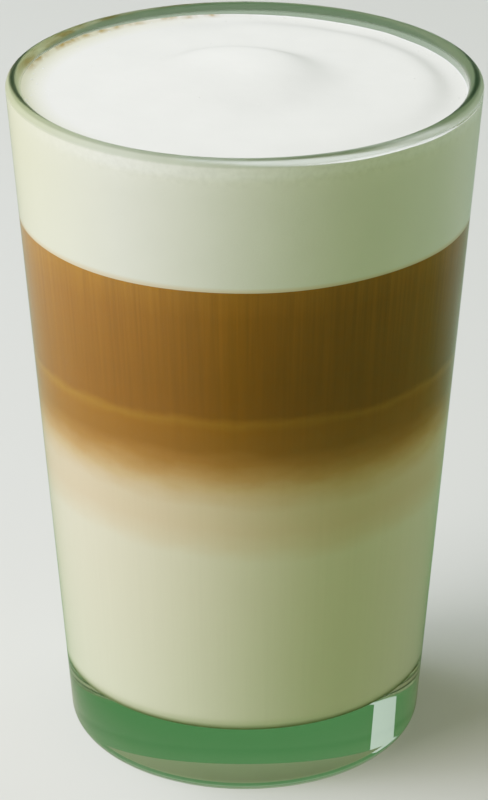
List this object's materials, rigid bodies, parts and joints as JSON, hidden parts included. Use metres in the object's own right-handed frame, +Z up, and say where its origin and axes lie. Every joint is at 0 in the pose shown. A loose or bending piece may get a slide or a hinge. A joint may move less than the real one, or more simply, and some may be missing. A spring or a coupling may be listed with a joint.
{
  "type": "latte in a glass",
  "caption": "Layered latte in a plain tapered glass tumbler: milk, a blended band and coffee below a deep cap of white milk foam level with the rim.",
  "frame": {"origin": "middle of the glass's foot, on the surface that it stands on", "axes": "+Z up along the glass's axis; -Y towards the viewer of the picture, +X to that viewer's right"},
  "size_m": [0.0798, 0.0798, 0.121],
  "materials": {
    "tumbler_glass": "clear fire-polished soda-lime glass, faintly green where it is thick",
    "milk": "steamed milk, creamy white, smooth behind glass",
    "milk_coffee_blend": "milk stained by coffee, brown above fading to beige below",
    "coffee": "espresso let down with milk, warm brown with faint upright streaks",
    "milk_foam": "dense fine milk foam, soft white, matt with tiny bubbles"
  },
  "bodies": {
    "root": {"glass": "tumbler_glass", "milk": "milk", "milk_coffee_blend": "milk_coffee_blend", "coffee": "coffee", "foam": "milk_foam"}
  },
  "joints": []
}
